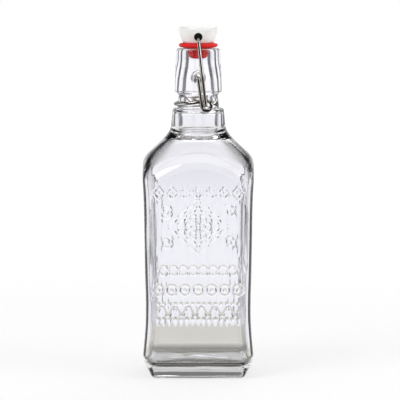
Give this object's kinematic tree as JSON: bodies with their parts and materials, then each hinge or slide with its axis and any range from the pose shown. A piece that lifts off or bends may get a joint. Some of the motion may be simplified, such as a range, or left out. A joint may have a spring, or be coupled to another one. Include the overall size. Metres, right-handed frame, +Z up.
{
  "type": "swing top bottle",
  "caption": "Square clear glass bottle with round shoulder, ring collar and a wire swing closure holding a white stopper with a red rubber gasket.",
  "frame": {"origin": "centre of the base, on the surface that the bottle stands on", "axes": "+Z up along the bottle, +X towards the side of the wire eyes, -X towards the side where the thumb bow closes round the neck, hinge axes along Y"},
  "size_m": [0.0766, 0.0766, 0.2377],
  "materials": {
    "clear_glass": "smooth clear pressed glass with a raised ornament on the front",
    "white_stopper": "opaque white, softly glossy",
    "red_rubber": "orange-red rubber, satin",
    "bright_wire": "bright drawn steel wire"
  },
  "bodies": {
    "bottle": {"bottle": "clear_glass"},
    "lever": {"lever_wire": "bright_wire"},
    "bail": {"bail_wire": "bright_wire"},
    "stopper": {"stopper_head": "white_stopper", "sealing_gasket": "red_rubber"}
  },
  "joints": [
    {"name": "lever_hinge", "type": "hinge", "parent": "bottle", "child": "lever", "pos_m": [0, 0, 0.2035], "axis": [0, 1, 0], "range_deg": [0, 97]},
    {"name": "bail_hinge", "type": "hinge", "parent": "lever", "child": "bail", "pos_m": [0.00513, 0, 0.18537], "axis": [0, 1, 0], "range_deg": [-58.2, 0]},
    {"name": "stopper_hinge", "type": "hinge", "parent": "bail", "child": "stopper", "pos_m": [0, 0, 0.2296], "axis": [0, 1, 0], "range_deg": [-38.8, 0]}
  ],
  "couplings": [
    {"joint": "bail_hinge", "follows": "lever_hinge", "ratio": -0.6},
    {"joint": "stopper_hinge", "follows": "lever_hinge", "ratio": -0.4}
  ]
}
